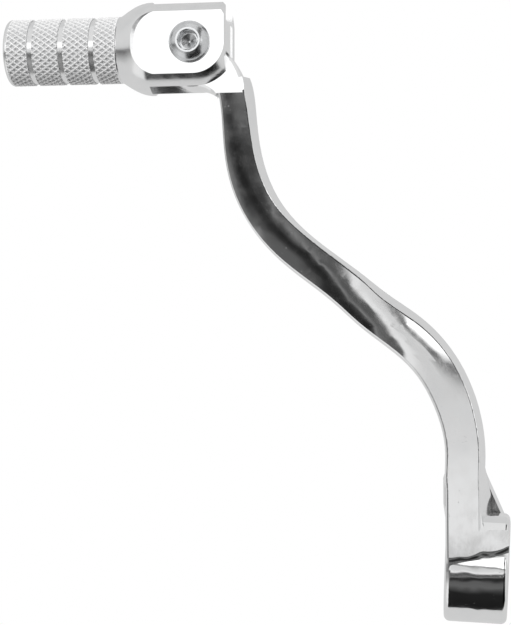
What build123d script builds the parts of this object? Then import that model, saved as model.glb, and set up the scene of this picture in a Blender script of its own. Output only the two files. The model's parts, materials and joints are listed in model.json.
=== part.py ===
"""Folding gear shift lever for a motorcycle, built as separate named pieces.

Row frame, in mm. The origin is the centre of the serrated shaft bore.
+X runs along the shift shaft towards the engine, +Y runs forwards to the toe
tip, and +Z is up, along the pivot bolt. The blade and the toe tip are forged
2.4 degrees off the shaft, so they are drawn in a blade frame that is turned by
BLADE_YAW about +Z. In that frame the toe tip points along -X at rest.
"""
import os
from math import cos, radians, sin, sqrt, tan

from build123d import *

# ---- driving dimensions ------------------------------------------------------
BOSS_R = 15.0            # outside of the clamp ring
BOSS_W = 17.0            # clamp ring, measured along the shaft
BOSS_EDGE = 1.6          # rounding on both rims of the ring
SHOULDER_Y = 9.0         # flat over the ring, up to its rounded shoulder
SHOULDER_R = 6.0
BORE_R = 6.4             # lands of the serrated bore
BORE_CHAMFER = 0.8
SPLINE_ROOT_R = 7.0      # bottom of the serrations
SPLINE_TEETH = 24
SPLINE_LAND = 0.46       # share of each pitch left as land
SPLINE_ROOT_SHARE = 0.35  # root width as a share of the gap's width
SLOT_TOP = -0.8          # saw cut under the arm root
SLOT_BOTTOM = -2.8
SLOT_START_Y = 4.0
SLOT_END_Y = 32.0
EAR_BOTTOM = -10.6       # underside of the lower clamp ear
EAR_DRAFT = 5.2          # degrees
EAR_CORNER_R = 0.8       # on the ear's free end
BLADE_YAW = 2.4          # degrees, blade frame from row frame about +Z
PINCH_X = -3.4           # pinch bolt, in the blade frame
PINCH_Y = 19.5
PINCH_CLEARANCE_R = 3.3
PINCH_HOLE_TOP = 9.8     # top of the tapped hole
PINCH_SEAT_R = 7.0       # spot face under the lower ear
PINCH_SEAT_DEPTH = 0.4

ARM_FRONT = 14.75        # height of the flat lower length of the arm
ROOT_LEAN = -0.045       # fall of that flat per mm towards +X
ROOT_START = 1.5         # Y where the straight root starts, inside the ring
FLARE_DROP = 0.4         # flare's face below the root's, so that the root's edge shows
CROWN_START = 46.0       # Y where the flat root face starts to be crowned
CROWN_END = 64.0
ARM_RISE_START = 60.0    # Y where the arm begins to climb
ARM_RISE_END = 86.0      # Y where the climb is steady
ARM_SLOPE = 14.0         # degrees
ARM_DEPTH_ROOT = 15.0
ARM_DEPTH_TOP = 12.2
ARM_DRAFT = 4.0          # degrees, forged draft on the left side
ARM_CROWN_R = 30.0       # crown across the front face of the climbing length
ARM_EDGE = 0.6           # rounding on the front edges
ARM_BACK_EDGE = 1.4      # rounding on the back edges
ARM_SIDE_EDGE = 2.5      # rounding at the parting line

PIVOT = (-74.5, 140.8, 22.7)
TONGUE_T = 11.3
TONGUE_R = 11.2
TONGUE_END_X = 8.9       # flat beside the fork's open end, from the pivot
TONGUE_STOP_Y = 6.5      # top of the square corner that stops the tip at rest
TONGUE_FLAT_Y = -13.2    # where the machined faces end on the blade
TONGUE_CHAMFER = 0.6
TONGUE_CHAMFER_END = 12.9  # right end of that chamfer, from the pivot
TONGUE_LEDGE = 2.0       # top of the plate under the blade, above the tip axis

TIP_END_X = -51.4        # all tip stations are from the pivot, along X
GRIP_START_X = -20.4
GRIP_R = 9.0
GRIP_END_R = 1.1         # rounding at the free end
GRIP_GROOVES = (-44.0, -35.5, -27.0)
GROOVE_W = 1.4
GROOVE_DEPTH = 0.45
NECK_STEP = 0.2          # small step where the knurling ends
HEAD_START_X = -11.5
HEAD_R = 12.5
HEAD_CHAMFER = 0.75      # on the rim of the open end
HEAD_END_X = 9.2
PAD_HALF = 9.3           # flats on the head, from the tip axis
PAD_LEFT_X = -15.5
PAD_WIDTH = 17.0
PAD_CORNER_R = 7.0
SLOT_HALF = 5.7          # fork slot half width
SLOT_END_X = -11.4
CORNER_X = 0.9           # centre of the rounded corner that clears the arm
HOLE_CLEARANCE = 0.1     # radial, bolt in its holes

BOLT_R = 3.0             # M6 pivot bolt
BOLT_HEAD_R = 5.5
BOLT_HEAD_H = 2.9
BOLT_RIM_H = 0.7         # straight rim under the domed head
BOLT_DOME = (4.5, 2.15)  # a point on the dome, from the axis and above the seat
BOLT_LAND_R = 3.3        # flat land round the socket
BOLT_END_CHAMFER = 0.5
HEX_AF = 5.0
HEX_DEPTH = 2.6
HEX_LEAD_IN = 0.5        # cone at the socket's mouth
HEX_POINT_R = 2.3        # drill point at its bottom
HEX_POINT_H = 0.9
SLEEVE_R = 4.5
TONGUE_BORE_R = 4.54
SPRING_POCKET_R = 7.4
SPRING_POCKET_TOP = 0.9  # above the tip axis
SPRING_WIRE_R = 0.55
SPRING_BASE = 0.95       # lowest coil above the lower cheek
SPRING_R = 5.9
SPRING_PITCH = 1.3
SPRING_TURNS = 3.5
SPRING_LEG = 2.2         # how far each leg goes into its hole
LEG_HOLE_R = 0.65        # holes for the spring's two legs
LEG_HOLE_DEPTH = 2.6
INSERT_BOTTOM = 5.5      # below the nut's seat
INSERT_TOP = 3.9
WASHER_T = 1.0
WASHER_R = 6.0
WASHER_HOLE_R = 3.2
NUT_AF = 10.0
NUT_CORNER_R = 5.6
NUT_H = 4.2
NUT_COLLAR_H = 2.2       # collar and the bolt's end below the hexagon
NUT_COLLAR_R = 4.4
NUT_COLLAR_TOP = 4.0     # below the nut's seat
NUT_COLLAR_BOTTOM = 5.8
NUT_SEAT = -PAD_HALF - WASHER_T
INSERT_R = 3.9
PINCH_SHANK_R = 2.95
PINCH_HEAD_H = 4.2
PINCH_LENGTH = 19.5
PINCH_BEVEL = (4.6, 5.8, 1.0)  # bevel under the head: radii and height

# centreline of the arm (X, Y), width of its front face, and how far the parting
# line on its right side stands out from the front edge
ARM_STATIONS = (
    (-3.4, 22.0, 8.9, 1.35),
    (-3.4, 28.5, 8.95, 1.4),
    (-3.6, 35.0, 9.0, 1.45),
    (-5.0, 42.0, 9.4, 1.4),
    (-7.6, 49.0, 9.8, 1.35),
    (-12.2, 56.6, 10.0, 1.4),
    (-19.6, 63.6, 9.9, 1.85),
    (-31.8, 73.4, 9.7, 1.2),
    (-43.8, 83.1, 9.5, 0.85),
    (-54.8, 93.4, 9.2, 1.1),
    (-59.5, 101.3, 8.8, 1.25),
    (-61.7, 108.6, 8.5, 1.1),
    (-62.8, 117.5, 7.7, 1.2),
    (-63.6, 126.6, 7.2, 1.7),
    (-64.6, 131.0, 7.0, 1.8),
)

# sides of the tongue's neck, from the pivot
NECK_RIGHT = (
    (8.0, 0),
    (8.4, -1.0),
    (12.7, -7.8),
    (14.5, -15.0),
)
NECK_LEFT = (
    (6.9, -15.0),
    (5.1, -12.6),
    (1.5, -11.1),
)

# pull of the curve between the knurling and the head
HEAD_CURVE = (
    (-18.3, 9.8),
    (-15.5, 12.5),
)

# lower ear, outline at its underside
EAR_CORNERS = (
    (8.3, 0),
    (8.3, 8.0),
    (7.6, 13.9),
    (2.7, 25.0),
    (1.4, 27.5),
    (-8.2, 27.5),
    (-9.45, 23.5),
    (-9.45, 16.5),
    (-8.6, 10.5),
    (-8.6, 0),
)

# right side of the root flare, from the ring up the arm
FLARE_BOTTOM = (
    (8.0, 8.5),
    (6.2, 10.2),
    (4.6, 13.0),
    (3.85, 16.5),
    (3.85, 20.0),
    (2.4, 27.0),
)
FLARE_TOP = (
    (7.2, 6.0),
    (4.4, 7.7),
    (2.5, 10.4),
    (1.35, 14.0),
    (1.0, 17.5),
    (0.95, 27.0),
)


# ---- helpers -----------------------------------------------------------------
def arm_front(y):
    """Height of the arm's front face at a station."""
    slope = tan(radians(ARM_SLOPE))
    if y < ARM_RISE_START:
        return ARM_FRONT
    if y < ARM_RISE_END:
        return ARM_FRONT + slope * (y - ARM_RISE_START) ** 2 / (2 * (ARM_RISE_END - ARM_RISE_START))
    return ARM_FRONT + slope * ((ARM_RISE_END - ARM_RISE_START) / 2 + y - ARM_RISE_END)


def arm_depth(y):
    """Depth of the arm from front to back at a station."""
    share = min(max((y - ARM_RISE_START) / (PIVOT[1] - 14.0 - ARM_RISE_START), 0.0), 1.0)
    return ARM_DEPTH_ROOT + share * (ARM_DEPTH_TOP - ARM_DEPTH_ROOT)


def crown_share(y):
    """How far the front face has gone from the flat root to its full crown, 0 to 1."""
    return min(max((y - CROWN_START) / (CROWN_END - CROWN_START), 0.0), 1.0)


def arm_lean(y, tangent):
    """Rise of the front face per mm across the arm, from its left to its right."""
    step = 0.5
    slope = (arm_front(y + step) - arm_front(y - step)) / (2 * step)
    return slope * -tangent.X + ROOT_LEAN * (1 - crown_share(y))


def arm_tangent(index):
    """Direction of the arm's centreline at a station."""
    x, y = ARM_STATIONS[index][:2]
    if index < 2:
        return Vector(0, 1, 0)
    before = Vector(x, y, 0) - Vector(*ARM_STATIONS[index - 1][:2], 0)
    if index == len(ARM_STATIONS) - 1:
        return before.normalized()
    after = Vector(*ARM_STATIONS[index + 1][:2], 0) - Vector(x, y, 0)
    mixed = before.normalized() * after.length + after.normalized() * before.length
    return mixed.normalized()


def cyl_z(radius, z0, z1, x=0.0, y=0.0):
    """Cylinder along Z between two heights."""
    return Pos(x, y, (z0 + z1) / 2) * Cylinder(radius, z1 - z0)


def box(x0, x1, y0, y1, z0, z1):
    """Box between two corners."""
    return Pos((x0 + x1) / 2, (y0 + y1) / 2, (z0 + z1) / 2) * Box(x1 - x0, y1 - y0, z1 - z0)


def turned(shape):
    """A shape drawn in the blade frame, in the row frame."""
    return Rot(0, 0, BLADE_YAW) * shape


def at_pivot(shape):
    """A shape drawn round the pivot, in the row frame."""
    return turned(Pos(*PIVOT) * shape)


# ---- lever arm ---------------------------------------------------------------
def arm_section(index):
    """One cross-section of the forged blade: crowned and leaning front, drafted sides."""
    x, y, width, parting = ARM_STATIONS[index]
    tangent = arm_tangent(index)
    depth = arm_depth(y)
    half = width / 2
    bow = (ARM_CROWN_R - sqrt(ARM_CROWN_R ** 2 - half ** 2)) * crown_share(y)
    left = half + tan(radians(ARM_DRAFT)) * depth / 2
    right = half + parting
    lean = arm_lean(y, tangent)

    def at(across, up):
        return (across, up + lean * across)

    front_left = at(-half, -bow)
    front_right = at(half, -bow)
    side_right = at(right, -depth / 2)
    back_right = at(half, -depth + bow)
    back_left = at(-half, -depth + bow)
    side_left = at(-left, -depth / 2)
    with BuildSketch() as section:
        with BuildLine():
            if bow:
                ThreePointArc(front_left, (0, 0), front_right)
                ThreePointArc(back_right, (0, -depth), back_left)
            else:
                Line(front_left, front_right)
                Line(back_right, back_left)
            Polyline(front_right, side_right, back_right)
            Polyline(back_left, side_left, front_left)
        make_face()
        for corner, radius in (
            (front_left, ARM_EDGE),
            (front_right, ARM_EDGE),
            (back_left, ARM_BACK_EDGE),
            (back_right, ARM_BACK_EDGE),
            (side_left, ARM_SIDE_EDGE),
            (side_right, ARM_SIDE_EDGE),
        ):
            fillet(section.vertices().sort_by_distance(corner)[0], radius)
    across = Vector(tangent.Y, -tangent.X, 0)
    plane = Plane(origin=(x, y, arm_front(y)), x_dir=across, z_dir=tangent * -1)
    return plane * section.sketch.face()


def arm_blade():
    """The S-curved forged blade, from inside the ring to the tongue."""
    sections = [arm_section(i) for i in range(len(ARM_STATIONS))]
    curve = Solid.make_loft([s.outer_wire() for s in sections], False)
    root = extrude(sections[0], amount=ARM_STATIONS[0][1] - ROOT_START, dir=(0, -1, 0))
    return root + curve


def clamp_ring():
    """Ring round the shaft, with both rims rounded, before the bore is cut."""
    with BuildSketch() as profile:
        with Locations((0, BOSS_R / 2)):
            Rectangle(BOSS_W, BOSS_R)
        rims = profile.vertices().filter_by(lambda v: v.Y > BOSS_R / 2)
        fillet(rims, BOSS_EDGE)
    return revolve(profile.sketch, Axis.X)


def below_root_plane(shape, drop=0.0):
    """The part of a shape that lies under the arm's leaning root plane."""
    origin = (ARM_STATIONS[0][0], 0, ARM_FRONT - drop)
    lean = Plane(origin=origin, x_dir=(1, 0, ROOT_LEAN), z_dir=(-ROOT_LEAN, 0, 1))
    return shape - lean * Pos(0, 0, 10) * Box(100, 100, 20)


def clamp_shoulder():
    """Flat-topped shoulder across the ring that carries the arm's face onto it."""
    with BuildSketch(Plane.YZ.offset(-BOSS_W / 2)) as profile:
        with BuildLine():
            Polyline((SHOULDER_Y, BOSS_R), (0, BOSS_R), (0, SLOT_TOP - 0.5), (BOSS_R, SLOT_TOP - 0.5))
            Line((BOSS_R, SLOT_TOP - 0.5), (BOSS_R, BOSS_R - SHOULDER_R))
            inset = SHOULDER_R * (1 - cos(radians(45)))
            corner = (BOSS_R - inset, BOSS_R - inset)
            ThreePointArc((BOSS_R, BOSS_R - SHOULDER_R), corner, (SHOULDER_Y, BOSS_R))
        make_face()
    shoulder = extrude(profile.sketch, amount=BOSS_W)
    rims = shoulder.edges().filter_by(lambda e: abs(abs(e.center().X) - BOSS_W / 2) < 0.01)
    rims = rims.filter_by(lambda e: e.center().Z > 1 and e.center().Y > 1)
    in_blade_frame = Rot(0, 0, -BLADE_YAW) * fillet(rims, BOSS_EDGE)
    return turned(below_root_plane(in_blade_frame))


def clamp_ear():
    """Lower clamp ear under the arm root, with forged draft on its sides."""
    with BuildSketch(Plane.XY.offset(EAR_BOTTOM)) as outline:
        with BuildLine():
            Polyline(*EAR_CORNERS, close=True)
        make_face()
        end_y = max(y for x, y in EAR_CORNERS)
        fillet(outline.vertices().filter_by(lambda v: v.Y > end_y - 0.1), EAR_CORNER_R)
    return extrude(outline.sketch, amount=SLOT_TOP - EAR_BOTTOM, taper=EAR_DRAFT)


def flare_face(height, wall):
    """Outline of the root flare at one height; wall runs from the ring up the arm."""
    plane = Plane.XY.offset(height)
    with BuildSketch(plane) as outline:
        with BuildLine(plane):
            Polyline((-3, 2), (wall[0][0], 2), wall[0])
            Spline(*wall[:-1])
            Polyline(wall[-2], wall[-1], (-3, wall[-1][1]), (-3, 2))
        make_face()
    return outline.sketch


def root_flare():
    """Forged flare that carries the arm's right side out to the ring."""
    bottom = flare_face(SLOT_TOP, FLARE_BOTTOM)
    top = flare_face(ARM_FRONT, FLARE_TOP)
    return below_root_plane(loft([bottom, top], ruled=True), FLARE_DROP)


def tongue():
    """Flat tongue that fills the toe tip's fork, machined on both faces."""
    px, py, pz = PIVOT
    right = [(px + x, py + y) for x, y in NECK_RIGHT]
    left = [(px + x, py + y) for x, y in NECK_LEFT]
    plane = Plane.XY.offset(pz - TONGUE_T / 2)
    with BuildSketch(plane) as outline:
        with Locations((px, py)):
            Circle(TONGUE_R)
        with Locations((px + TONGUE_END_X + 10, py + 2)):
            Rectangle(20, 40, mode=Mode.SUBTRACT)
        with Locations((px - TONGUE_R / 2, py + TONGUE_STOP_Y / 2)):
            Rectangle(TONGUE_R, TONGUE_STOP_Y)
        with BuildLine(plane):
            Polyline((px, py), right[0], right[1])
            ThreePointArc(*right[1:])
            Line(right[-1], left[0])
            ThreePointArc(*left)
            Line(left[-1], (px, py))
        make_face()
    plate = extrude(outline.sketch, amount=TONGUE_T)
    plate -= box(px, px + 20, py - 20, py + TONGUE_FLAT_Y, pz + TONGUE_LEDGE, pz + TONGUE_T)
    rim = plate.edges().filter_by(lambda e: abs(abs(e.center().Z - pz) - TONGUE_T / 2) < 0.01)
    rim = rim.filter_by(lambda e: py + TONGUE_FLAT_Y + 0.1 < e.center().Y < py - 5)
    rim = rim.filter_by(lambda e: e.center().X < px + TONGUE_CHAMFER_END)
    return chamfer(rim, TONGUE_CHAMFER)


def serrated_bore():
    """Cutter for the splined shaft bore."""
    pitch = 360 / SPLINE_TEETH
    gap = pitch * (1 - SPLINE_LAND)
    a = radians(gap / 2)
    b = radians(gap * SPLINE_ROOT_SHARE / 2)
    inner = 0.9 * BORE_R
    plane = Plane.YZ.offset(-BOSS_W)
    with BuildSketch(plane) as outline:
        Circle(BORE_R)
        for i in range(SPLINE_TEETH):
            mid = radians((i + 0.5) * pitch)
            gap_side = ((inner, -a), (BORE_R, -a), (SPLINE_ROOT_R, -b))
            corners = gap_side + tuple((r, -t) for r, t in reversed(gap_side))
            with BuildLine(plane):
                Polyline(*[(r * cos(mid + t), r * sin(mid + t)) for r, t in corners], close=True)
            make_face()
    return extrude(outline.sketch, amount=2 * BOSS_W)


def bore_lead_in(side):
    """Cutter for the chamfer at one end of the bore."""
    reach = 1.0
    wide = BORE_R + BORE_CHAMFER + reach
    cone = Cone(BORE_R, wide, BORE_CHAMFER + reach)
    return Rot(0, side * 90, 0) * Pos(0, 0, BOSS_W / 2 - BORE_CHAMFER + (BORE_CHAMFER + reach) / 2) * cone


def make_lever_arm():
    """Forged and machined lever arm with its clamp, blade and tongue."""
    px, py, pz = PIVOT
    half = TONGUE_T / 2
    flat_y = py + TONGUE_FLAT_Y
    blade = arm_blade()
    blade -= box(px - 20, px + 30, flat_y, py + 20, pz + half, pz + 20)
    blade -= box(px - 20, px + 30, flat_y, py + 20, pz - 20, pz - half)
    body = blade + tongue() + clamp_ear() + root_flare()
    body = turned(body) + clamp_ring() + clamp_shoulder()
    body = body - serrated_bore() - bore_lead_in(1) - bore_lead_in(-1)
    body -= box(-20, 20, SLOT_START_Y, SLOT_END_Y, SLOT_BOTTOM, SLOT_TOP)
    cuts = cyl_z(PINCH_CLEARANCE_R, EAR_BOTTOM - 1, SLOT_BOTTOM + 0.5, PINCH_X, PINCH_Y)
    cuts += cyl_z(PINCH_SEAT_R, EAR_BOTTOM - 1, EAR_BOTTOM + PINCH_SEAT_DEPTH, PINCH_X, PINCH_Y)
    cuts += cyl_z(BOLT_R, SLOT_TOP - 0.5, PINCH_HOLE_TOP, PINCH_X, PINCH_Y)
    cuts += cyl_z(TONGUE_BORE_R, pz - 10, pz + 10, px, py)
    cuts += cyl_z(SPRING_POCKET_R, pz - 10, pz + SPRING_POCKET_TOP, px, py)
    cuts += cyl_z(LEG_HOLE_R, pz, pz + SPRING_POCKET_TOP + LEG_HOLE_DEPTH, px + SPRING_R, py)
    return body - turned(cuts)


def grip_profile():
    """Half outline of the turned toe tip, from the pivot along X."""
    neck = (GRIP_START_X + NECK_STEP, GRIP_R - NECK_STEP)
    bar_end_x = HEAD_END_X + 10
    bottom = GRIP_R - GROOVE_DEPTH
    with BuildSketch() as profile:
        with BuildLine():
            Line((TIP_END_X, 0), (TIP_END_X, GRIP_R - GRIP_END_R))
            RadiusArc((TIP_END_X, GRIP_R - GRIP_END_R), (TIP_END_X + GRIP_END_R, GRIP_R), GRIP_END_R)
            x = TIP_END_X + GRIP_END_R
            for groove in GRIP_GROOVES:
                left = groove - GROOVE_W / 2
                right = groove + GROOVE_W / 2
                Polyline((x, GRIP_R), (left, GRIP_R), (left, bottom), (right, bottom), (right, GRIP_R))
                x = right
            Line((x, GRIP_R), (GRIP_START_X, GRIP_R))
            Line((GRIP_START_X, GRIP_R), neck)
            Bezier(neck, *HEAD_CURVE, (HEAD_START_X, HEAD_R))
            Polyline((HEAD_START_X, HEAD_R), (bar_end_x, HEAD_R), (bar_end_x, 0), (TIP_END_X, 0))
        make_face()
    return profile.sketch


def pad_cutter(side):
    """Milled flat on one side of the head, with a rounded inner end."""
    with BuildSketch(Plane.XY.offset(side * PAD_HALF)) as outline:
        with Locations(((PAD_LEFT_X + 20) / 2, 0)):
            Rectangle(20 - PAD_LEFT_X, PAD_WIDTH)
        inner = outline.vertices().filter_by(lambda v: v.X < 0)
        fillet(inner, PAD_CORNER_R)
    return extrude(outline.sketch, amount=side * 8)


def head_end_cutter():
    """Cutter that faces the open end of the head and chamfers its rim."""
    reach = 2.0
    start = HEAD_END_X - HEAD_CHAMFER
    length = HEAD_CHAMFER + reach
    keep = Pos(start + length / 2, 0, 0) * Rot(0, 90, 0) * Cone(HEAD_R, HEAD_R - length, length)
    cutter = box(start, HEAD_END_X + 20, -20, 20, -20, 20) - keep
    return cutter + box(HEAD_END_X, HEAD_END_X + 20, -20, 20, -20, 20)


def make_folding_tip():
    """Turned and milled toe tip: grooved grip, forked head with two flats."""
    tip = revolve(grip_profile(), Axis.X)
    corner = box(CORNER_X, 30, -20, 0, -20, 20)
    corner -= Pos(CORNER_X, 0, 0) * Sphere(HEAD_R)
    tip -= corner
    tip -= head_end_cutter()
    tip -= pad_cutter(1)
    tip -= pad_cutter(-1)
    tip -= box(SLOT_END_X, 40, -20, 20, -SLOT_HALF, SLOT_HALF)
    tip -= cyl_z(BOLT_R + HOLE_CLEARANCE, -20, 20)
    tip -= cyl_z(LEG_HOLE_R, -SLOT_HALF - LEG_HOLE_DEPTH, -SLOT_HALF + 0.5, -SPRING_R, 0)
    return at_pivot(tip)


# ---- pivot hardware ----------------------------------------------------------
def hex_prism(across_flats, z0, z1):
    """Hexagonal bar along Z."""
    outline = RegularPolygon(across_flats / 2, 6, major_radius=False)
    return extrude(Plane.XY.offset(z0) * outline, amount=z1 - z0)


def make_pivot_bolt():
    """Button-head bolt through both cheeks, with a hexagon socket."""
    seat = PAD_HALF
    top = seat + BOLT_HEAD_H
    end = NUT_SEAT - NUT_H - NUT_COLLAR_H
    with BuildSketch(Plane.XZ) as profile:
        with BuildLine():
            Polyline(
                (0, end),
                (BOLT_R - BOLT_END_CHAMFER, end),
                (BOLT_R, end + BOLT_END_CHAMFER),
                (BOLT_R, seat),
                (BOLT_HEAD_R, seat),
                (BOLT_HEAD_R, seat + BOLT_RIM_H),
            )
            dome = (BOLT_DOME[0], seat + BOLT_DOME[1])
            ThreePointArc((BOLT_HEAD_R, seat + BOLT_RIM_H), dome, (BOLT_LAND_R, top))
            Polyline((BOLT_LAND_R, top), (0, top), (0, end))
        make_face()
    bolt = revolve(profile.sketch, Axis.Z)
    bolt -= hex_prism(HEX_AF, top - HEX_DEPTH, top + 1)
    bolt -= Pos(0, 0, top - 0.05) * Cone(HEX_AF / 2 + 0.05, HEX_AF / 2 + HEX_LEAD_IN, HEX_LEAD_IN)
    bolt -= Pos(0, 0, top - HEX_DEPTH - 0.35) * Cone(0.2, HEX_POINT_R, HEX_POINT_H)
    return at_pivot(bolt)


def make_pivot_sleeve():
    """Hard sleeve clamped between the cheeks; the tongue turns on it."""
    tube = cyl_z(SLEEVE_R, -SLOT_HALF, SLOT_HALF) - cyl_z(BOLT_R + HOLE_CLEARANCE, -20, 20)
    return at_pivot(tube)


def make_return_spring():
    """Torsion spring in the tongue's pocket, one leg up and one leg down."""
    height = SPRING_PITCH * SPRING_TURNS
    base = -SLOT_HALF + SPRING_BASE
    coil = Pos(0, 0, base) * Helix(SPRING_PITCH, height, SPRING_R)
    wire = sweep(Plane(coil @ 0, z_dir=coil % 0) * Circle(SPRING_WIRE_R), coil)
    start = coil @ 0
    end = coil @ 1
    lower = cyl_z(SPRING_WIRE_R, -SLOT_HALF - SPRING_LEG, start.Z, start.X, start.Y)
    upper = cyl_z(SPRING_WIRE_R, end.Z, SPRING_POCKET_TOP + SPRING_LEG, end.X, end.Y)
    joints = Pos(*start) * Sphere(SPRING_WIRE_R) + Pos(*end) * Sphere(SPRING_WIRE_R)
    return at_pivot(Rot(0, 0, 180) * (wire + lower + upper + joints))


def make_pivot_washer():
    """Plain washer under the pivot nut."""
    return at_pivot(cyl_z(WASHER_R, NUT_SEAT, -PAD_HALF) - cyl_z(WASHER_HOLE_R, -20, 0))


def insert_ring(radius):
    """Disc that the nut's nylon insert fills, before the thread's hole."""
    return cyl_z(radius, NUT_SEAT - INSERT_BOTTOM, NUT_SEAT - INSERT_TOP)


def make_pivot_nut():
    """Hexagon lock nut with a round collar for its insert."""
    nut = hex_prism(NUT_AF, NUT_SEAT - NUT_H, NUT_SEAT)
    nut &= cyl_z(NUT_CORNER_R, NUT_SEAT - NUT_H, NUT_SEAT)
    nut += cyl_z(NUT_COLLAR_R, NUT_SEAT - NUT_COLLAR_BOTTOM, NUT_SEAT - NUT_COLLAR_TOP)
    nut -= cyl_z(BOLT_R, NUT_SEAT - 10, NUT_SEAT + 1)
    nut -= insert_ring(INSERT_R)
    return at_pivot(nut)


def make_nut_insert():
    """Nylon ring inside the lock nut's collar."""
    return at_pivot(insert_ring(INSERT_R) - cyl_z(BOLT_R, NUT_SEAT - 10, NUT_SEAT))


# ---- clamp hardware ----------------------------------------------------------
def make_pinch_bolt():
    """Hexagon bolt that closes the clamp from below."""
    seat = EAR_BOTTOM + PINCH_SEAT_DEPTH - WASHER_T
    under = seat - PINCH_HEAD_H
    end = seat + PINCH_LENGTH
    head = hex_prism(NUT_AF, under, seat) & cyl_z(NUT_CORNER_R, under, seat)
    bevel_r, rim_r, bevel_h = PINCH_BEVEL
    bevel = Pos(0, 0, under) * Cone(bevel_r, rim_r, bevel_h) + cyl_z(rim_r, under + bevel_h / 2, seat)
    shank = cyl_z(PINCH_SHANK_R, seat - 0.1, end)
    tip = Cone(PINCH_SHANK_R, PINCH_SHANK_R - BOLT_END_CHAMFER, BOLT_END_CHAMFER)
    tip = Pos(0, 0, end + BOLT_END_CHAMFER / 2) * tip
    return turned(Pos(PINCH_X, PINCH_Y, 0) * ((head & bevel) + shank + tip))


def make_pinch_washer():
    """Plain washer under the pinch bolt's head."""
    seat = EAR_BOTTOM + PINCH_SEAT_DEPTH
    washer = cyl_z(WASHER_R, seat - WASHER_T, seat) - cyl_z(WASHER_HOLE_R, seat - 2, seat + 1)
    return turned(Pos(PINCH_X, PINCH_Y, 0) * washer)


PIECES = {
    "lever_arm": make_lever_arm,
    "folding_tip": make_folding_tip,
    "pivot_bolt": make_pivot_bolt,
    "pivot_sleeve": make_pivot_sleeve,
    "return_spring": make_return_spring,
    "pivot_washer": make_pivot_washer,
    "pivot_nut": make_pivot_nut,
    "nut_insert": make_nut_insert,
    "pinch_bolt": make_pinch_bolt,
    "pinch_washer": make_pinch_washer,
}


def main():
    """Write one STEP file per physical piece."""
    os.makedirs("parts", exist_ok=True)
    for name, make in PIECES.items():
        shape = make()
        solid = shape.solids()[0]
        solid.label = name
        export_step(solid, f"parts/{name}.step")


if __name__ == "__main__":
    main()
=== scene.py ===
"""Folding gear shift lever: looks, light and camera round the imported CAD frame.

Every object is in metres in the row frame. Named lengths are in millimetres
unless their comment says metres. The tip frame has its origin on the pivot and
its -X axis along the toe tip at rest.
"""

import json
from math import cos, pi, radians, sin

import bmesh
import bpy
from mathutils import Matrix, Vector


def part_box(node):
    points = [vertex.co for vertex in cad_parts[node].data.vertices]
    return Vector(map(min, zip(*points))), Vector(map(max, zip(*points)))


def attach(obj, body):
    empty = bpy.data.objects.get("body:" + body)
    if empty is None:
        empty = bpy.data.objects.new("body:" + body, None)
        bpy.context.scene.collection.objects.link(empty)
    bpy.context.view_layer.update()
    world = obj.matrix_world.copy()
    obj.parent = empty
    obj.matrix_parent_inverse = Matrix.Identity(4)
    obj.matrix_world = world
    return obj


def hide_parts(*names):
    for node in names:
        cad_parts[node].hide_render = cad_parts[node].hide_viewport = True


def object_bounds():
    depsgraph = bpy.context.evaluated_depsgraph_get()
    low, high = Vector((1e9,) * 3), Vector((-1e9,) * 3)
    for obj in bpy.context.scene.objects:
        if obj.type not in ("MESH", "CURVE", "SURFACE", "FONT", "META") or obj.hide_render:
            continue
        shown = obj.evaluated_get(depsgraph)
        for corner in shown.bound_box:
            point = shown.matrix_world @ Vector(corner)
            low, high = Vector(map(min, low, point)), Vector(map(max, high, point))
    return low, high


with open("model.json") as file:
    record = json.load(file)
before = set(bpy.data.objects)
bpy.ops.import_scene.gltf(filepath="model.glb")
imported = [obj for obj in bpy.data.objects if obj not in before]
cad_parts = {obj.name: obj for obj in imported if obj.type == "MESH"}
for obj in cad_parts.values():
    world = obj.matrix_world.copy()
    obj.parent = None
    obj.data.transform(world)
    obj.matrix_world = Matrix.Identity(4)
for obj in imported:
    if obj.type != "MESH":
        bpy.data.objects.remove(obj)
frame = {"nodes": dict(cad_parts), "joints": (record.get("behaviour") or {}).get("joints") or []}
cad_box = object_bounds()

MM = 0.001
YAW = radians(2.4)               # the blade and the tip are turned off the shaft
PIVOT = Vector(frame["joints"][0]["pos_m"])
TIP_FRAME = Matrix.Translation(PIVOT) @ Matrix.Rotation(YAW, 4, "Z")

# knurled grip, along the tip axis from the pivot
GRIP_END_X = -51.4
GRIP_START_X = -20.4
GRIP_R = 9.0
GRIP_EDGE_R = 1.1
GRIP_EDGE_STEPS = 6
END_FACE = ((6.0, 0.0), (3.0, 0.0), (1.2, 0.0), (0.4, 0.7))    # radius and depth of its rings
GROOVES = (-44.0, -35.5, -27.0)
GROOVE_W = 1.4
GROOVE_DEPTH = 0.45
GROOVE_WALL = 0.04               # half the length over which a groove's wall drops
STATION_GAP = 0.06               # least distance from a groove's wall to the next ring
KNURL_PITCH = 2.25
KNURL_COUNT = 34
KNURL_STEPS = 12                 # rings in each pitch along the grip, points in each round it
KNURL_DEPTH = 0.38
CREST = 0.04                     # half width of a ridge's crest, in pitches
FLANK = 0.22                     # width of a ridge's flank, in pitches
KNURL_MARGIN = 0.05              # plain length beside the head
KNURL_FADE = 0.25                # length over which the knurl reaches its depth
HEAD_CUT = 1e-6                  # metres cut off the head, where the grip is joined on
WELD = 1e-7                      # metres within which CAD vertices become one
SHARP_ANGLE = radians(32)

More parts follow.
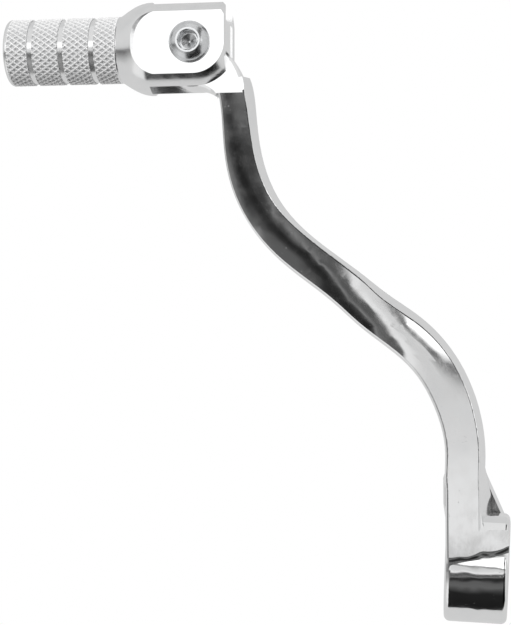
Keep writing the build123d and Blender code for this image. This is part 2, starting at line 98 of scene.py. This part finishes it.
# places on the arm where its finish and its painted shade change
WAVES_Y = (45.0, 75.0)           # the waves grow along the blade between these
WAVES_AT_RING = 0.12             # share of the waves that is left at the ring
DENTS_Y = (6.6, 4.9)             # the ring's dents start between these, on the shaft's line
DENTS_SLOPE = 0.22               # how that start slants across the ring, as Y over X
DENTS_SHIFT = 3.0                # how far the noise moves that start
DENTS_GAIN = 2.6                 # height is the noise times this
DENTS_DROP = 2.1                 # less this
CUT_SHADE_BOTTOM = (-3.3, -3.0)        # Z over which the saw cut's finish and its painted shade start
CUT_SHADE_TOP = (-0.5, -0.8)           # Z over which the saw cut's finish and its painted shade end
LEVEL = 0.9995                   # Z of a unit normal above which a face is level

# set, in metres
FLOOR_HALF = 4.0
BOUNCE_DROP = 0.001
TENT_R = 2.0
TENT_HALF_LENGTH = 2.5
TENT_END_X = 2.45
TENT_EDGES = (-96, 92)           # degrees from straight up towards the near side
TENT_STEP = 2                    # degrees
LEFT_SIDE = (-0.55, -0.85)       # X over which the left side's order takes over
DARK_BAND_START = (0.6, 0.8)     # X over which the dark band on the right starts
DARK_BAND_END = (1.5, 1.3)       # X over which it ends
DARK_BAND_LEVEL = 0.05           # share of the light that is left in it

# tent brightness: (degrees from straight up towards the near side, level)
TENT_MIDDLE = (
    (-180, 0.58),
    (-34, 0.58),
    (-31, 0.16),
    (-28, 0.95),
    (-8.5, 1.0),
    (-7, 0.12),
    (-5, 0.12),
    (-3.5, 0.5),
    (1.0, 0.5),
    (3.0, 0.61),
    (5.9, 0.61),
    (6.4, 0.085),
    (12, 0.065),
    (14, 0.17),
    (15.5, 0.04),
    (18, 0.012),
    (22, 0.02),
    (27, 0.08),
    (36, 0.09),
    (44, 0.04),
    (50, 0.012),
    (84, 0.009),
    (92, 0.03),
    (180, 0.03),
)
TENT_LEFT = (
    (-180, 0.5),
    (-34, 0.5),
    (-28, 0.85),
    (-8, 0.85),
    (2, 0.6),
    (5, 0.14),
    (9, 0.13),
    (22, 0.30),
    (45, 0.62),
    (180, 0.62),
)
# brightness of the tent's left end: (metres from the middle, level)
LEFT_END = (
    (-2.0, 0.7),
    (-1.0, 0.62),
    (-0.4, 0.28),
    (-0.15, 0.06),
    (-0.02, 0.06),
    (0.07, 0.7),
    (2.0, 0.7),
)

# camera
LENS = 94.464
SENSOR = 36.0
CAMERA_PLACE = (4.03, 53.1, 456.2)    # in the row frame, before its turn by YAW
CAMERA_LEAN = radians(8.1605)         # about Y, to look towards the left
CAMERA_PITCH = radians(2.1187)        # about X, to look away from the near side

# colours
ZINC = ((0.68, 0.69, 0.70), (0.80, 0.81, 0.82))
GROUND_STEEL = ((0.50, 0.50, 0.50), (0.62, 0.62, 0.62))


# ---- node helpers --------------------------------------------------------------
def start_material(name):
    """New node material; returns it with its node tree and its shader."""
    material = bpy.data.materials.new(name)
    material.use_nodes = True
    tree = material.node_tree
    return material, tree, tree.nodes["Principled BSDF"]


def feed(tree, sockets, values):
    """Links each value that is a socket and sets each that is a number."""
    for socket, value in zip(sockets, values):
        if isinstance(value, (int, float)):
            socket.default_value = value
        else:
            tree.links.new(value, socket)


def vector_step(tree, operation, vector, by):
    """A vector changed by a constant one."""
    node = tree.nodes.new("ShaderNodeVectorMath")
    node.operation = operation
    node.inputs[1].default_value = by
    tree.links.new(vector, node.inputs[0])
    return node.outputs[0]


def object_mm(tree, origin=(0, 0, 0), scale=(1, 1, 1)):
    """Object coordinates in mm from an origin given in metres."""
    source = tree.nodes.new("ShaderNodeTexCoord").outputs["Object"]
    shifted = vector_step(tree, "SUBTRACT", source, origin)
    return vector_step(tree, "MULTIPLY", shifted, [s / MM for s in scale])


def tip_mm(tree, scale=(1, 1, 1)):
    """Object coordinates in mm in the tip frame."""
    turn = tree.nodes.new("ShaderNodeVectorRotate")
    turn.rotation_type = "Z_AXIS"
    turn.inputs["Angle"].default_value = -YAW
    tree.links.new(object_mm(tree, PIVOT), turn.inputs["Vector"])
    return vector_step(tree, "MULTIPLY", turn.outputs[0], scale)


def axes(tree, vector):
    """A vector's X, Y and Z outputs."""
    parts = tree.nodes.new("ShaderNodeSeparateXYZ")
    tree.links.new(vector, parts.inputs[0])
    return parts.outputs


def geometry(tree, output):
    """An output of the geometry node."""
    return tree.nodes.new("ShaderNodeNewGeometry").outputs[output]


def noise(tree, vector, scale, detail=2.0, roughness=0.5, distortion=0.0):
    """Noise value over a vector in mm."""
    node = tree.nodes.new("ShaderNodeTexNoise")
    node.inputs["Scale"].default_value = scale
    node.inputs["Detail"].default_value = detail
    node.inputs["Roughness"].default_value = roughness
    node.inputs["Distortion"].default_value = distortion
    tree.links.new(vector, node.inputs["Vector"])
    return node.outputs["Fac"]


def spots(tree, vector, scale):
    """Distance to the nearest of a set of scattered points."""
    node = tree.nodes.new("ShaderNodeTexVoronoi")
    node.inputs["Scale"].default_value = scale
    tree.links.new(vector, node.inputs["Vector"])
    return node.outputs["Distance"]


def calc(tree, operation, a, b=0.0):
    """Math node whose inputs are sockets or numbers."""
    node = tree.nodes.new("ShaderNodeMath")
    node.operation = operation
    feed(tree, node.inputs, (a, b))
    return node.outputs[0]


def times(tree, a, b):
    """Product of two values."""
    return calc(tree, "MULTIPLY", a, b)


def span(tree, value, low, high, out_low=0.0, out_high=1.0):
    """Value mapped smoothly from one range to another."""
    node = tree.nodes.new("ShaderNodeMapRange")
    node.interpolation_type = "SMOOTHSTEP"
    tree.links.new(value, node.inputs["Value"])
    node.inputs["From Min"].default_value = low
    node.inputs["From Max"].default_value = high
    node.inputs["To Min"].default_value = out_low
    node.inputs["To Max"].default_value = out_high
    return node.outputs["Result"]


def ramp(tree, value, stops):
    """Colour ramp over (position, grey or colour) stops."""
    node = tree.nodes.new("ShaderNodeValToRGB")
    elements = node.color_ramp.elements
    while len(elements) < len(stops):
        elements.new(1.0)
    for element, (position, colour) in zip(elements, stops):
        element.position = position
        colour = (colour,) * 3 if isinstance(colour, (int, float)) else colour
        element.color = (*colour, 1.0)
    tree.links.new(value, node.inputs["Fac"])
    return node.outputs["Color"]


def tones(tree, value, dark, light):
    """Colour between two tones, over the middle of a noise's range."""
    return ramp(tree, value, ((0.3, dark), (0.7, light)))


def mix_value(tree, factor, a, b):
    """Blend of two values by a factor."""
    node = tree.nodes.new("ShaderNodeMix")
    node.data_type = "FLOAT"
    feed(tree, (node.inputs[0], node.inputs[2], node.inputs[3]), (factor, a, b))
    return node.outputs[0]


def mix_colour(tree, factor, a, b):
    """Blend of two colours by a factor."""
    node = tree.nodes.new("ShaderNodeMix")
    node.data_type = "RGBA"
    feed(tree, (node.inputs[0], node.inputs[6], node.inputs[7]), (factor, a, b))
    return node.outputs[2]


def bump(tree, height, depth_mm, normal=None):
    """Bump of a given depth over an optional earlier bump."""
    node = tree.nodes.new("ShaderNodeBump")
    node.inputs["Strength"].default_value = 1.0
    node.inputs["Distance"].default_value = depth_mm * MM
    tree.links.new(height, node.inputs["Height"])
    if normal is not None:
        tree.links.new(normal, node.inputs["Normal"])
    return node.outputs["Normal"]


def facing_up(tree):
    """1 on level faces, which look straight up or down, such as milled flats."""
    level = calc(tree, "ABSOLUTE", axes(tree, geometry(tree, "True Normal"))["Z"])
    return calc(tree, "GREATER_THAN", level, LEVEL)


def radius_from_axis(tree, vector, axis):
    """Distance of a vector from its own X or Z axis."""
    parts = axes(tree, vector)
    first, second = {"X": ("Y", "Z"), "Z": ("X", "Y")}[axis]
    a = calc(tree, "POWER", parts[first], 2.0)
    b = calc(tree, "POWER", parts[second], 2.0)
    return calc(tree, "SQRT", calc(tree, "ADD", a, b))


def finish_surface(tree, shader, metallic, colour, rough, normal):
    """Sets how metallic a shader is and links its colour, roughness and normal."""
    shader.inputs["Metallic"].default_value = metallic
    tree.links.new(colour, shader.inputs["Base Color"])
    tree.links.new(rough, shader.inputs["Roughness"])
    tree.links.new(normal, shader.inputs["Normal"])


# ---- materials -----------------------------------------------------------------
def saw_cut_and_shade(tree, height):
    """1 at the saw cut's height, also where the ring isn't cut: it carries the cut's rough finish
    and the painted shade of the recess beside the ear.
    """
    return times(tree, span(tree, height, *CUT_SHADE_BOTTOM), span(tree, height, *CUT_SHADE_TOP))


def ring_dip(tree, place, row):
    """Height of the shallow dents on the ring's round face, which start at a wavy edge."""
    dents = noise(tree, place, 0.17, 1.0, 0.4)
    across_ring = calc(tree, "SUBTRACT", row["Y"], times(tree, row["X"], DENTS_SLOPE))
    edge = calc(tree, "ADD", across_ring, times(tree, dents, DENTS_SHIFT))
    height = calc(tree, "SUBTRACT", times(tree, dents, DENTS_GAIN), DENTS_DROP)
    return times(tree, span(tree, edge, *DENTS_Y), height)


def polished_forging():
    """Mirror-polished forged aluminium: slow waves, polishing lines, a few pits, and dark grey
    painted shade at the saw cut.
    """
    material, tree, shader = start_material("polished_forging")
    place = object_mm(tree)
    row = axes(tree, place)
    climb = span(tree, row["Y"], *WAVES_Y, WAVES_AT_RING, 1.0)
    cut_and_shade = saw_cut_and_shade(tree, row["Z"])
    waves = noise(tree, place, 0.09, 1.0, 0.4)
    ripples = noise(tree, object_mm(tree, scale=(1.0, 0.4, 1.0)), 0.5, 2.0, 0.5)
    lines = noise(tree, object_mm(tree, scale=(1.0, 0.12, 1.0)), 5.0, 3.0, 0.6, 0.4)
    saw = noise(tree, object_mm(tree, scale=(1.0, 0.05, 1.0)), 6.0, 3.0, 0.7)
    smudge = noise(tree, place, 0.2, 4.0, 0.6)
    pit_area = span(tree, noise(tree, place, 0.16, 2.0), 0.56, 0.66)
    pits = times(tree, span(tree, spots(tree, place, 0.9), 0.16, 0.05), pit_area)

    bright = tones(tree, smudge, (0.875, 0.88, 0.885), (0.92, 0.92, 0.92))
    # dark grey at the saw cut's height is painted shade of the recess beside the ear; the roughness
    # and saw marks below are the cut's own finish
    colour = mix_colour(tree, cut_and_shade, bright, tones(tree, saw, 0.16, 0.42))
    haze = calc(tree, "ADD", smudge, times(tree, lines, 0.35))
    polish = span(tree, haze, 0.45, 0.9, 0.035, 0.13)
    rough = mix_value(tree, facing_up(tree), polish, 0.22)
    rough = mix_value(tree, cut_and_shade, rough, 0.42)

    normal = bump(tree, times(tree, waves, climb), 0.09)
    normal = bump(tree, times(tree, ripples, climb), 0.006, normal)
    normal = bump(tree, ring_dip(tree, place, row), 0.1, normal)
    normal = bump(tree, times(tree, saw, cut_and_shade), 0.06, normal)
    normal = bump(tree, lines, 0.0010, normal)
    normal = bump(tree, calc(tree, "SUBTRACT", 1.0, pits), 0.02, normal)
    finish_surface(tree, shader, 1.0, colour, rough, normal)
    return material


def turned_aluminium():
    """Bright turned head: fine lines round the axis, other lines on milled flats."""
    material, tree, shader = start_material("turned_aluminium")
    place = tip_mm(tree)
    flat = facing_up(tree)
    round_lines = noise(tree, tip_mm(tree, (1.0, 0.02, 0.02)), 9.0, 2.0, 0.6)
    mill_lines = noise(tree, tip_mm(tree, (0.08, 1.0, 1.0)), 7.0, 2.0, 0.6)
    smudge = noise(tree, place, 0.3, 4.0, 0.6)
    colour = tones(tree, smudge, (0.88, 0.885, 0.89), (0.93, 0.93, 0.93))
    polish = span(tree, smudge, 0.3, 0.7, 0.17, 0.25)
    rough = mix_value(tree, flat, polish, 0.2)
    normal = bump(tree, mix_value(tree, flat, round_lines, mill_lines), 0.0022)
    normal = bump(tree, noise(tree, place, 0.35, 2.0), 0.02, normal)
    finish_surface(tree, shader, 1.0, colour, rough, normal)
    return material


def knurled_aluminium():
    """Knurled grip with painted shade: the colour darkens from the bright crests down into the
    pits.
    """
    material, tree, shader = start_material("knurled_aluminium")
    place = tip_mm(tree)
    grain = noise(tree, place, 2.2, 3.0, 0.6)
    uneven = times(tree, calc(tree, "SUBTRACT", grain, 0.5), 0.12)
    level = calc(tree, "ADD", radius_from_axis(tree, place, "X"), uneven)
    height = span(tree, level, GRIP_R - KNURL_DEPTH, GRIP_R)
    # painted shade: the colour follows depth, dark at the bottom of the pits and brightest on the
    # crests
    pit_shade_colour = (0.62, 0.625, 0.63)
    flank_colour = (0.95, 0.95, 0.955)
    colour = ramp(tree, height, ((0.0, pit_shade_colour), (0.5, flank_colour), (1.0, 1.0)))
    rough = span(tree, grain, 0.3, 0.7, 0.34, 0.5)
    normal = bump(tree, noise(tree, place, 3.5, 2.0, 0.6), 0.012)
    finish_surface(tree, shader, 0.4, colour, rough, normal)
    return material


def turned_steel(name, colours, rough_low, rough_high, origin):
    """Turned steel with rings round the Z axis through an origin in metres."""
    material, tree, shader = start_material(name)
    place = object_mm(tree, origin)
    rings = tree.nodes.new("ShaderNodeTexNoise")
    rings.noise_dimensions = "1D"
    rings.inputs["Scale"].default_value = 4.0
    rings.inputs["Detail"].default_value = 3.0
    tree.links.new(radius_from_axis(tree, place, "Z"), rings.inputs["W"])
    cloud = noise(tree, place, 0.8, 4.0, 0.65)
    rough = span(tree, cloud, 0.3, 0.7, rough_low, rough_high)
    normal = bump(tree, rings.outputs["Fac"], 0.004)
    normal = bump(tree, noise(tree, place, 2.5, 3.0), 0.005, normal)
    finish_surface(tree, shader, 1.0, tones(tree, cloud, *colours), rough, normal)
    return material


def spring_wire():
    """Drawn spring wire with a thin oil film."""
    material, tree, shader = start_material("spring_wire")
    place = object_mm(tree, PIVOT, (1.0, 1.0, 4.0))
    cloud = noise(tree, place, 1.2, 4.0, 0.6)
    colour = tones(tree, cloud, (0.30, 0.30, 0.31), (0.46, 0.46, 0.47))
    rough = span(tree, cloud, 0.3, 0.7, 0.22, 0.38)
    normal = bump(tree, noise(tree, place, 6.0, 2.0), 0.008)
    shader.inputs["Coat Weight"].default_value = 0.2
    shader.inputs["Coat Roughness"].default_value = 0.15
    finish_surface(tree, shader, 1.0, colour, rough, normal)
    return material


def insert_nylon():
    """Slightly cloudy white nylon."""
    material, tree, shader = start_material("insert_nylon")
    place = object_mm(tree, PIVOT)
    cloud = noise(tree, place, 1.5, 4.0, 0.6)
    colour = tones(tree, cloud, (0.74, 0.75, 0.76), (0.86, 0.87, 0.88))
    rough = span(tree, cloud, 0.3, 0.7, 0.35, 0.5)
    normal = bump(tree, noise(tree, place, 5.0, 2.0), 0.01)
    shader.inputs["Subsurface Weight"].default_value = 0.25
    shader.inputs["Subsurface Scale"].default_value = 0.0005
    finish_surface(tree, shader, 0.0, colour, rough, normal)
    return material


# ---- toe tip -------------------------------------------------------------------
def in_groove(x):
    """Whether a place along the grip lies in one of its ring grooves."""
    return any(abs(x - groove) < GROOVE_W / 2 for groove in GROOVES)


def grip_radius(x, angle):
    """Radius of the knurled grip at a place along it and round it."""
    if in_groove(x):
        return GRIP_R - GROOVE_DEPTH
    turn = KNURL_COUNT * angle / (2 * pi)
    along = (x - GRIP_START_X) / KNURL_PITCH
    to_ridge = min(abs(p - round(p)) for p in (along + turn, along - turn))
    depth = KNURL_DEPTH * min(1.0, max(0.0, to_ridge - CREST) / FLANK)
    border = min(x - GRIP_END_X - GRIP_EDGE_R, GRIP_START_X - KNURL_MARGIN - x)
    return GRIP_R - depth * min(1.0, max(0.0, border / KNURL_FADE))


def grip_stations():
    """Places along the grip from the head, with a close pair at each groove wall."""
    step = KNURL_PITCH / KNURL_STEPS
    count = int((GRIP_START_X - GRIP_END_X - GRIP_EDGE_R) / step)
    stations = [GRIP_START_X - i * step for i in range(1, count + 1)]
    for groove in GROOVES:
        walls = (groove - GROOVE_W / 2, groove + GROOVE_W / 2)
        stations = [x for x in stations if min(abs(x - w) for w in walls) > STATION_GAP]
        stations += [w + d for w in walls for d in (-GROOVE_WALL, GROOVE_WALL)]
    return sorted(stations, reverse=True)


def add_ring(mesh, x, radii):
    """Ring of vertices round the tip axis."""
    ring = []
    for i, radius in enumerate(radii):
        angle = 2 * pi * i / len(radii)
        ring.append(mesh.verts.new((x * MM, radius * sin(angle) * MM, radius * cos(angle) * MM)))
    return ring


def join_rings(mesh, first, second, slot):
    """Faces between two rings of the same length."""
    for i in range(len(first)):
        j = (i + 1) % len(first)
        face = mesh.faces.new((first[i], first[j], second[j], second[i]))
        face.material_index = slot
        face.smooth = True


def add_grip(mesh):
    """Knurled grip with its rounded end; returns its open ring at the head."""
    around = KNURL_COUNT * KNURL_STEPS
    angles = [2 * pi * i / around for i in range(around)]
    opening = add_ring(mesh, GRIP_START_X, [GRIP_R] * around)
    last = opening
    last_x = GRIP_START_X
    for x in grip_stations():
        ring = add_ring(mesh, x, [grip_radius(x, a) for a in angles])
        join_rings(mesh, last, ring, 0 if in_groove(x) and in_groove(last_x) else 1)
        last = ring
        last_x = x
    for i in range(GRIP_EDGE_STEPS + 1):
        turn = pi / 2 * i / GRIP_EDGE_STEPS
        x = GRIP_END_X + GRIP_EDGE_R * (1 - sin(turn))
        ring = add_ring(mesh, x, [GRIP_R - GRIP_EDGE_R * (1 - cos(turn))] * around)
        join_rings(mesh, last, ring, 0)
        last = ring
    for radius, depth in END_FACE:
        ring = add_ring(mesh, GRIP_END_X + depth, [radius] * around)
        join_rings(mesh, last, ring, 0)
        last = ring
    mesh.faces.new(last)
    return opening


def add_head(mesh):
    """Head of the CAD tip, cut off where the grip starts; returns its open edges."""
    mesh.from_mesh(frame["nodes"]["folding_tip"].data)
    mesh.transform(TIP_FRAME.inverted())
    bmesh.ops.remove_doubles(mesh, verts=mesh.verts, dist=WELD)
    bmesh.ops.bisect_plane(
        mesh,
        geom=mesh.verts[:] + mesh.edges[:] + mesh.faces[:],
        plane_co=(GRIP_START_X * MM + HEAD_CUT, 0, 0),
        plane_no=(-1, 0, 0),
        clear_outer=True,
    )
    for face in mesh.faces:
        face.material_index = 0
        face.smooth = True
    return [e for e in mesh.edges if e.is_boundary]


def make_toe_tip():
    """Head copied from the CAD tip, joined to a knurled grip as one closed mesh."""
    mesh = bmesh.new()
    rim = add_head(mesh)
    opening = set(add_grip(mesh))
    ring = [e for e in mesh.edges if e.is_boundary and opening.issuperset(e.verts)]
    bmesh.ops.bridge_loops(mesh, edges=rim + ring)
    bmesh.ops.recalc_face_normals(mesh, faces=mesh.faces)
    mesh.transform(TIP_FRAME)
    data = bpy.data.meshes.new("toe_tip")
    mesh.to_mesh(data)
    mesh.free()
    for name in [a.name for a in data.attributes if "normal" in a.name]:
        data.attributes.remove(data.attributes[name])
    data.materials.append(turned_aluminium())
    data.materials.append(knurled_aluminium())
    data.set_sharp_from_angle(angle=SHARP_ANGLE)
    tip = bpy.data.objects.new("toe_tip", data)
    bpy.context.scene.collection.objects.link(tip)
    return tip


# ---- studio --------------------------------------------------------------------
def glow(name, strength):
    """Plain emission; returns the material with its node tree and its light."""
    material, tree, shader = start_material(name)
    tree.nodes.remove(shader)
    light = tree.nodes.new("ShaderNodeEmission")
    light.inputs["Strength"].default_value = strength
    tree.links.new(light.outputs[0], tree.nodes["Material Output"].inputs[0])
    return material, tree, light


def shares(stops, full):
    """Stops placed from -full / 2 to full / 2, as a ramp's shares from 0 to 1."""
    return [(place / full + 0.5, level) for place, level in stops]


def tent_glow():
    """Brightness round the tent: another order on the left, a dark band on the right."""
    material, tree, light = glow("tent_glow", 1.4)
    place = axes(tree, geometry(tree, "Position"))
    turn = calc(tree, "ARCTAN2", times(tree, place["Y"], -1.0), place["Z"])
    share = calc(tree, "ADD", calc(tree, "DIVIDE", turn, 2 * pi), 0.5)
    middle = ramp(tree, share, shares(TENT_MIDDLE, 360))
    left = ramp(tree, share, shares(TENT_LEFT, 360))
    mixed = mix_colour(tree, span(tree, place["X"], *LEFT_SIDE), middle, left)
    band_start = span(tree, place["X"], *DARK_BAND_START)
    band_end = span(tree, place["X"], *DARK_BAND_END)
    band = times(tree, band_start, band_end)
    dimmed = tree.nodes.new("ShaderNodeVectorMath")
    dimmed.operation = "SCALE"
    tree.links.new(mixed, dimmed.inputs[0])
    tree.links.new(span(tree, band, 0.0, 1.0, 1.0, DARK_BAND_LEVEL), dimmed.inputs["Scale"])
    tree.links.new(dimmed.outputs[0], light.inputs["Color"])
    return material


def left_end_glow():
    """Left end of the tent: pale, with one dark strip that fades to the near side."""
    material, tree, light = glow("left_end_glow", 1.0)
    place = axes(tree, geometry(tree, "Position"))
    share = calc(tree, "ADD", calc(tree, "DIVIDE", place["Y"], 2 * TENT_R), 0.5)
    tree.links.new(ramp(tree, share, shares(LEFT_END, 2 * TENT_R)), light.inputs["Color"])
    return material


def stage_sheet(name, rows, material):
    """Sheet through rows of points, as part of the set, hidden from the camera."""
    mesh = bpy.data.meshes.new(name)
    width = len(rows[0])
    points = [p for row in rows for p in row]
    faces = []
    for r in range(len(rows) - 1):
        for c in range(width - 1):
            a = r * width + c
            faces.append((a, a + 1, a + width + 1, a + width))
    mesh.from_pydata(points, [], faces)
    mesh.materials.append(material)
    sheet = bpy.data.objects.new(name, mesh)
    bpy.context.scene.collection.objects.link(sheet)
    sheet.visible_camera = False
    return sheet


def make_floors():
    """White floor for the camera alone, and one just under it for the lever's light."""
    low = cad_box[0].z
    for name, strength, z in (("floor", 1.0, low), ("floor_bounce", 0.66, low - BOUNCE_DROP)):
        rows = [[(x, y, z) for x in (-FLOOR_HALF, FLOOR_HALF)] for y in (-FLOOR_HALF, FLOOR_HALF)]
        sheet = stage_sheet(name, rows, glow(name + "_glow", strength)[0])
        if name == "floor":
            sheet.visible_camera = True
            sheet.visible_glossy = False
            sheet.visible_diffuse = False


def make_tent():
    """Light tent over the lever, with a dark near side and two closed ends."""
    rows = []
    for b in range(TENT_EDGES[0], TENT_EDGES[1] + 1, TENT_STEP):
        y = -TENT_R * sin(radians(b))
        z = TENT_R * cos(radians(b))
        rows.append([(x, y, z) for x in (-TENT_HALF_LENGTH, TENT_HALF_LENGTH)])
    tent = stage_sheet("tent", rows, tent_glow())
    tent.visible_shadow = False
    heights = (cad_box[0].z - BOUNCE_DROP, TENT_R)
    right_end_glow = glow("right_end_glow", 0.7)[0]
    ends = (("tent_left", -TENT_END_X, left_end_glow()), ("tent_right", TENT_END_X, right_end_glow))
    for name, x, material in ends:
        rows = [[(x, y, z) for y in (-TENT_R, TENT_R)] for z in heights]
        stage_sheet(name, rows, material)


def make_sun():
    """Soft sun that the mirror surfaces don't show, for the knurl's shading."""
    sun = bpy.data.lights.new("soft_sun", "SUN")
    sun.energy = 1.6
    sun.angle = radians(12)
    lamp = bpy.data.objects.new("soft_sun", sun)
    lamp.rotation_euler = (radians(-28), radians(-12), 0)
    lamp.visible_glossy = False
    bpy.context.scene.collection.objects.link(lamp)


def make_world():
    """Even pale surroundings."""
    world = bpy.data.worlds.new("world")
    world.use_nodes = True
    background = world.node_tree.nodes["Background"]
    background.inputs["Color"].default_value = (0.86, 0.86, 0.86, 1)
    background.inputs["Strength"].default_value = 1.0
    bpy.context.scene.world = world
    bpy.context.scene.view_settings.view_transform = "Standard"


def make_camera():
    """Camera above the lever, a little to its right."""
    data = bpy.data.cameras.new("camera")
    data.sensor_fit = "AUTO"
    data.sensor_width = SENSOR
    data.lens = LENS
    data.clip_start = 0.01
    data.clip_end = 20.0
    camera = bpy.data.objects.new("camera", data)
    place = Matrix.Translation(Vector(CAMERA_PLACE) * MM)
    turn = Matrix.Rotation(CAMERA_LEAN, 4, "Y") @ Matrix.Rotation(CAMERA_PITCH, 4, "X")
    camera.matrix_world = Matrix.Rotation(YAW, 4, "Z") @ place @ turn
    bpy.context.scene.collection.objects.link(camera)
    bpy.context.scene.camera = camera


# ---- everything ----------------------------------------------------------------
make_camera()
make_sun()
make_floors()
make_tent()
make_world()
toe_tip = make_toe_tip()
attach(toe_tip, "tip")
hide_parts("folding_tip")

pinch_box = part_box("pinch_bolt")
pinch_axis = (pinch_box[0] + pinch_box[1]) / 2
zinc_pivot = turned_steel("zinc_pivot", ZINC, 0.2, 0.3, PIVOT)
zinc_clamp = turned_steel("zinc_clamp", ZINC, 0.14, 0.26, pinch_axis)
finishes = {
    "lever_arm": polished_forging(),
    "pivot_bolt": zinc_pivot,
    "pivot_washer": zinc_pivot,
    "pivot_nut": zinc_pivot,
    "pivot_sleeve": turned_steel("ground_steel", GROUND_STEEL, 0.2, 0.34, PIVOT),
    "return_spring": spring_wire(),
    "nut_insert": insert_nylon(),
    "pinch_bolt": zinc_clamp,
    "pinch_washer": zinc_clamp,
}
for name, material in finishes.items():
    slots = frame["nodes"][name].data.materials
    slots.clear()
    slots.append(material)
